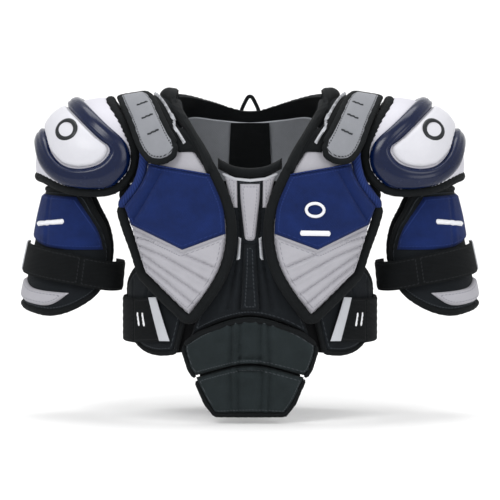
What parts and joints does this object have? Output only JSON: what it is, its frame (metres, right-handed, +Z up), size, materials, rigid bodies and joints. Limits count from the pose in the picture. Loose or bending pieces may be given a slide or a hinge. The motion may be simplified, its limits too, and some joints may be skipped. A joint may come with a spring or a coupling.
{
  "type": "ice hockey shoulder pads",
  "caption": "Padded harness for the shoulders, chest, back and upper arms, with hinged shoulder caps, strapped arm guards, side straps and folding belly pads.",
  "frame": {"origin": "on the middle plane between the wearer's chest and back, level with where the yoke rests on the shoulders", "axes": "+Z up, -Y the way the wearer faces, +X towards the wearer's left side"},
  "size_m": [0.619, 0.2558, 0.4296],
  "materials": {
    "blue_fabric": "matte woven",
    "silver_fabric": "satin woven",
    "black_fabric": "ribbed nylon over foam",
    "black_binding": "rolled nylon binding",
    "white_shell": "satin synthetic leather",
    "blue_plastic": "gloss moulded",
    "grey_fabric": "satin printed",
    "webbing": "elastic webbing"
  },
  "bodies": {
    "front": {"chest_pad_left": "silver_fabric", "chest_pad_right": "silver_fabric", "chest_blue_panel_left": "blue_fabric", "chest_blue_panel_right": "blue_fabric", "chest_rib_panel_left": "silver_fabric", "chest_rib_panel_right": "silver_fabric", "chest_binding_left": "black_binding", "chest_binding_right": "black_binding", "sternum_pad": "black_fabric", "sternum_plate": "silver_fabric", "sternum_ridge": "black_fabric", "neck_front_band": "black_binding", "side_wing_left": "black_fabric", "side_wing_right": "black_fabric", "side_strap_elastic_left": "webbing", "side_strap_elastic_right": "webbing", "yoke_front_left": "black_fabric", "yoke_front_right": "black_fabric", "collar_front_left": "black_binding", "collar_front_right": "black_binding", "cap_hinge_lace_left": "webbing", "cap_hinge_lace_right": "webbing"},
    "back": {"yoke_back_left": "black_fabric", "yoke_back_right": "black_fabric", "collar_back": "black_binding", "back_liner": "silver_fabric", "spine_strip": "webbing", "back_pad_left": "black_fabric", "back_pad_right": "black_fabric", "kidney_pad_left": "black_fabric", "kidney_pad_right": "black_fabric", "spine_pad": "black_fabric", "hang_loop": "webbing"},
    "belly_middle": {"belly_pad_middle": "black_fabric"},
    "belly_lower": {"belly_pad_lower": "black_fabric"},
    "flap_left": {"clavicle_flap_left": "grey_fabric"},
    "side_tab_left": {"side_strap_tab_left": "webbing"},
    "cap_left": {"cap_liner_left": "white_shell", "cap_ring_left": "blue_plastic", "cap_dome_left": "white_shell", "cap_binding_left": "black_binding"},
    "link_left": {"arm_link_left": "webbing"},
    "arm_left": {"arm_pad_left": "black_fabric", "arm_blue_panel_left": "blue_fabric", "arm_crescent_left": "silver_fabric", "arm_strap_band_left": "webbing"},
    "arm_tab_left": {"arm_strap_tab_left": "webbing"},
    "flap_right": {"clavicle_flap_right": "grey_fabric"},
    "side_tab_right": {"side_strap_tab_right": "webbing"},
    "cap_right": {"cap_liner_right": "white_shell", "cap_ring_right": "blue_plastic", "cap_dome_right": "white_shell", "cap_binding_right": "black_binding"},
    "link_right": {"arm_link_right": "webbing"},
    "arm_right": {"arm_pad_right": "black_fabric", "arm_blue_panel_right": "blue_fabric", "arm_crescent_right": "silver_fabric", "arm_strap_band_right": "webbing"},
    "arm_tab_right": {"arm_strap_tab_right": "webbing"}
  },
  "joints": [
    {"name": "back_swing", "type": "hinge", "parent": "front", "child": "back", "pos_m": [0, 0, 0.02], "axis": [1, 0, 0], "range_deg": [0, 15], "deforming": ["side_strap_elastic_left", "side_strap_elastic_right"]},
    {"name": "belly_middle_fold", "type": "hinge", "parent": "front", "child": "belly_middle", "pos_m": [0, -0.1205, -0.27], "axis": [-1, 0, 0], "range_deg": [0, 45], "stiffness_Nm_per_rad": 0.3, "springref_deg": -14.32},
    {"name": "belly_lower_fold", "type": "hinge", "parent": "belly_middle", "child": "belly_lower", "pos_m": [0, -0.1175, -0.334], "axis": [-1, 0, 0], "range_deg": [0, 45], "stiffness_Nm_per_rad": 0.2, "springref_deg": -14.32},
    {"name": "clavicle_lift_left", "type": "hinge", "parent": "front", "child": "flap_left", "pos_m": [0.15, -0.0155, 0.02], "axis": [-1, 0, 0], "range_deg": [0, 35]},
    {"name": "side_tab_peel_left", "type": "hinge", "parent": "front", "child": "side_tab_left", "pos_m": [0.157, -0.0585, -0.278], "axis": [0, 0, 1], "range_deg": [0, 80]},
    {"name": "cap_lift_left", "type": "hinge", "parent": "front", "child": "cap_left", "pos_m": [0.174, 0, 0.0125], "axis": [0, -1, 0], "range_deg": [0, 50]},
    {"name": "arm_swing_left", "type": "hinge", "parent": "cap_left", "child": "link_left", "pos_m": [0.262, 0, -0.084], "axis": [0, -1, 0], "range_deg": [0, 12], "stiffness_Nm_per_rad": 0.3, "springref_deg": -17.19},
    {"name": "arm_flex_left", "type": "hinge", "parent": "link_left", "child": "arm_left", "pos_m": [0.262, 0, -0.1], "axis": [1, 0, 0], "range_deg": [-12, 12], "stiffness_Nm_per_rad": 0.5},
    {"name": "arm_tab_peel_left", "type": "hinge", "parent": "arm_left", "child": "arm_tab_left", "pos_m": [0.2225, -0.0645, -0.2135], "axis": [0, 0, -1], "range_deg": [0, 45]},
    {"name": "clavicle_lift_right", "type": "hinge", "parent": "front", "child": "flap_right", "pos_m": [-0.15, -0.0155, 0.02], "axis": [-1, 0, 0], "range_deg": [0, 35]},
    {"name": "side_tab_peel_right", "type": "hinge", "parent": "front", "child": "side_tab_right", "pos_m": [-0.157, -0.0585, -0.278], "axis": [0, 0, -1], "range_deg": [0, 80]},
    {"name": "cap_lift_right", "type": "hinge", "parent": "front", "child": "cap_right", "pos_m": [-0.174, 0, 0.0125], "axis": [0, 1, 0], "range_deg": [0, 50]},
    {"name": "arm_swing_right", "type": "hinge", "parent": "cap_right", "child": "link_right", "pos_m": [-0.262, 0, -0.084], "axis": [0, 1, 0], "range_deg": [0, 12], "stiffness_Nm_per_rad": 0.3, "springref_deg": -17.19},
    {"name": "arm_flex_right", "type": "hinge", "parent": "link_right", "child": "arm_right", "pos_m": [-0.262, 0, -0.1], "axis": [1, 0, 0], "range_deg": [-12, 12], "stiffness_Nm_per_rad": 0.5},
    {"name": "arm_tab_peel_right", "type": "hinge", "parent": "arm_right", "child": "arm_tab_right", "pos_m": [-0.2225, -0.0645, -0.2135], "axis": [0, 0, 1], "range_deg": [0, 45]}
  ]
}
